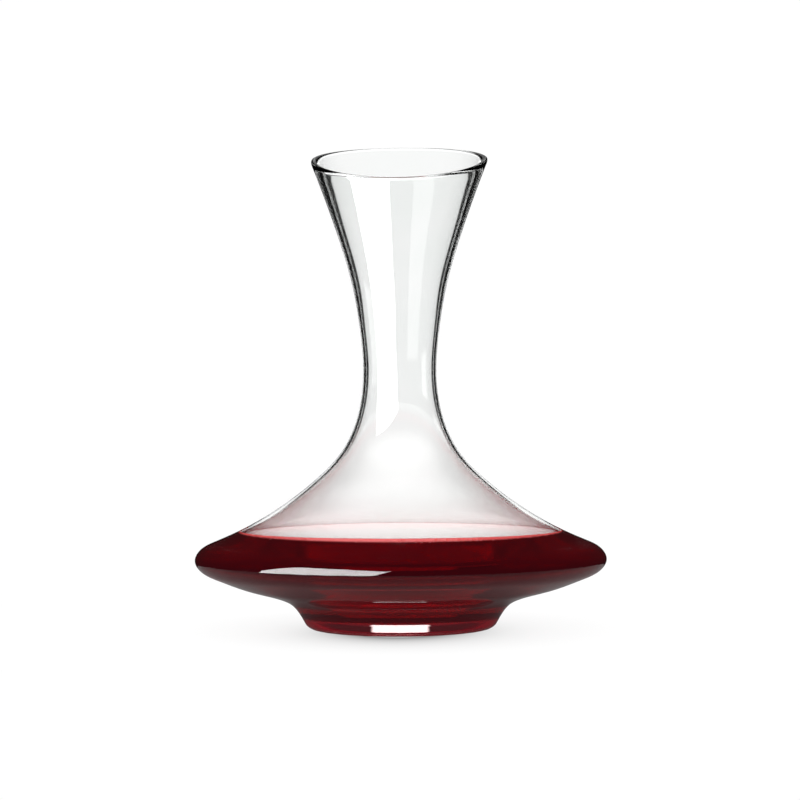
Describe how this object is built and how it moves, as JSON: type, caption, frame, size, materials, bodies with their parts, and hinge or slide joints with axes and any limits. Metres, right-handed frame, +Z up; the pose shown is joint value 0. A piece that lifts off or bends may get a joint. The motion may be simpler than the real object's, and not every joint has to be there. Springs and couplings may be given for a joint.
{
  "type": "wine decanter",
  "caption": "Blown glass wine decanter with a wide flat bowl on a low foot, a slim flared neck with a slanted mouth, and red wine inside.",
  "frame": {"origin": "middle of the ring that the foot stands on", "axes": "+Z up along the axis of the bowl and neck; the low side of the slanted mouth faces -Y and the high side, over which the wine is poured, faces +Y"},
  "size_m": [0.1996, 0.1996, 0.2361],
  "materials": {
    "glass": "clear blown crystal, gloss, with a polished lip",
    "wine": "deep clear red liquid, still, with a bright edge and a few small bubbles where it meets the glass"
  },
  "bodies": {
    "root": {"glass_vessel": "glass", "wine": "wine"}
  },
  "joints": []
}
